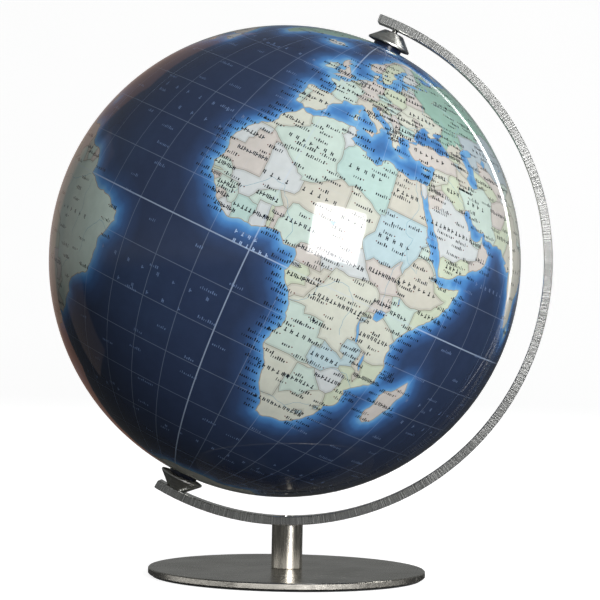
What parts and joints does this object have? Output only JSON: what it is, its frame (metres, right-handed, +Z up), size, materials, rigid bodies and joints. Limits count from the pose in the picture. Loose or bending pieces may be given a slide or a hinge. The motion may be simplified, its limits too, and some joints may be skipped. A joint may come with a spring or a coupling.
{
  "type": "desktop globe on stand",
  "caption": "Political globe on a tilted axis between two pivot screws in a bent flat steel arm, on a short round post and a thin round steel base.",
  "frame": {"origin": "centre of the base's underside, on the table", "axes": "+Z up; +X towards the bulge of the meridian arm; the arm and the pole axis lie in the XZ plane; the front of the globe is towards -Y"},
  "size_m": [0.2667, 0.25, 0.2988],
  "materials": {
    "plate_steel": "linear brushed, satin",
    "post_steel": "fine turned satin",
    "arm_steel": "cross-brushed faces, satin",
    "cone_steel": "turned, dark satin",
    "screw_steel": "plated, satin",
    "felt": "pressed felt",
    "nylon": "natural nylon",
    "bush_plastic": "moulded, glossy, dark blue",
    "shell_plastic": "moulded, matt",
    "map_print": "printed map under clear gloss lacquer"
  },
  "bodies": {
    "stand": {"base_felt": "felt", "base_plate": "plate_steel", "base_screw": "screw_steel", "post": "post_steel", "meridian_arm": "arm_steel", "arm_screw": "screw_steel", "north_pivot_screw": "screw_steel", "north_spacer_cone": "cone_steel", "north_thrust_washer": "nylon", "south_pivot_screw": "screw_steel", "south_spacer_cone": "cone_steel", "south_thrust_washer": "nylon"},
    "globe": {"equator_joint_ring": "shell_plastic", "north_pole_bush": "bush_plastic", "north_hemisphere_shell": "shell_plastic", "north_map_skin": "map_print", "south_pole_bush": "bush_plastic", "south_hemisphere_shell": "shell_plastic", "south_map_skin": "map_print"}
  },
  "joints": [
    {"name": "globe_spin", "type": "hinge", "parent": "stand", "child": "globe", "pos_m": [-0.004, 0, 0.1672], "axis": [0.4163, 0, 0.9092], "continuous": true}
  ]
}
